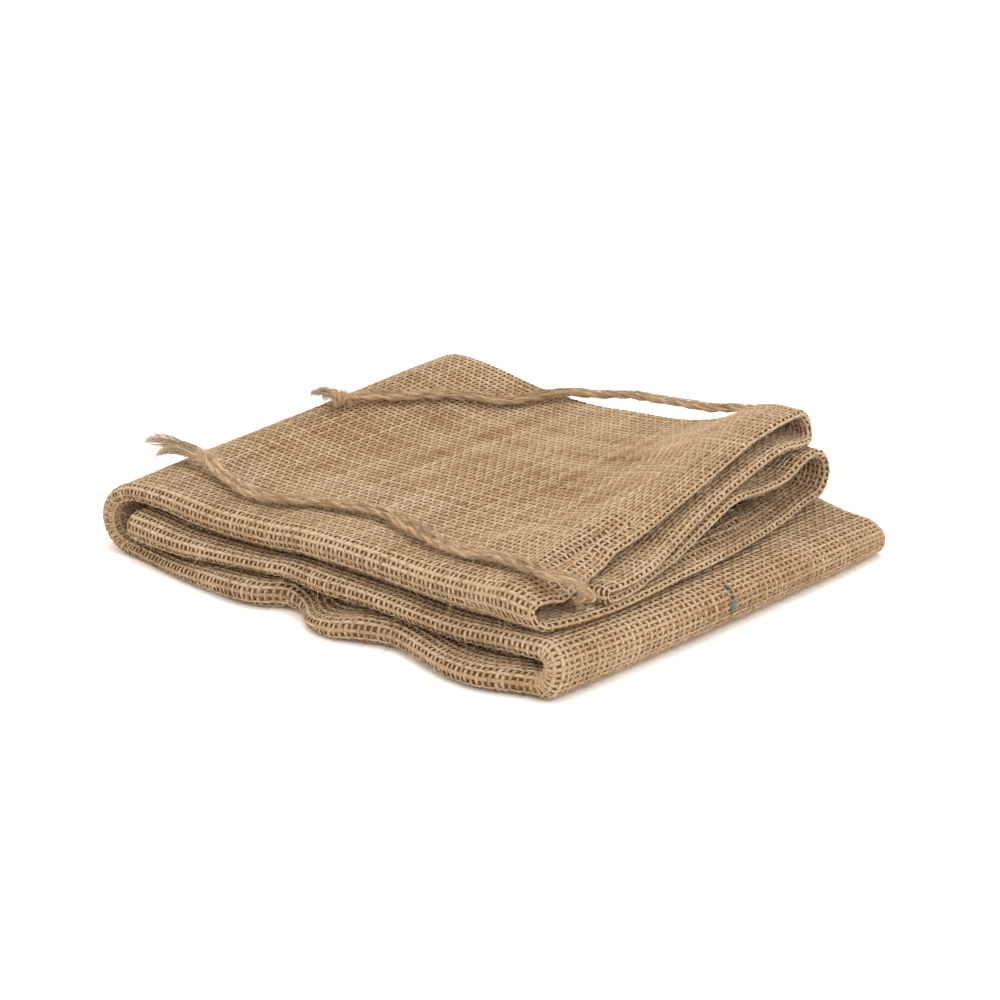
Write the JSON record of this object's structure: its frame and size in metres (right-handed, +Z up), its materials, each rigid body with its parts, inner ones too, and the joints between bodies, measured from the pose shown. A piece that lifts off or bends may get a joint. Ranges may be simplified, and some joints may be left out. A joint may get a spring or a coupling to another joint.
{
  "type": "jute sack",
  "caption": "Folded jute drawstring sack lying flat as a soft parcel, with its knotted twine ties laid over the top.",
  "frame": {"origin": "middle of the folded sack's footprint, on the surface that it lies on", "axes": "+X along the long side towards the open mouth, +Y away from the side with the single rolled edges, +Z up"},
  "size_m": [0.2763, 0.2344, 0.0623],
  "materials": {
    "jute_cloth": "coarse open plain weave, hairy and dry",
    "jute_twine": "hairy twisted twine"
  },
  "bodies": {
    "root": {"sack": "jute_cloth", "twine_near_a": "jute_twine", "twine_near_b": "jute_twine", "twine_rear_a": "jute_twine", "twine_rear_b": "jute_twine", "knot_near": "jute_twine", "knot_rear": "jute_twine"}
  },
  "joints": []
}
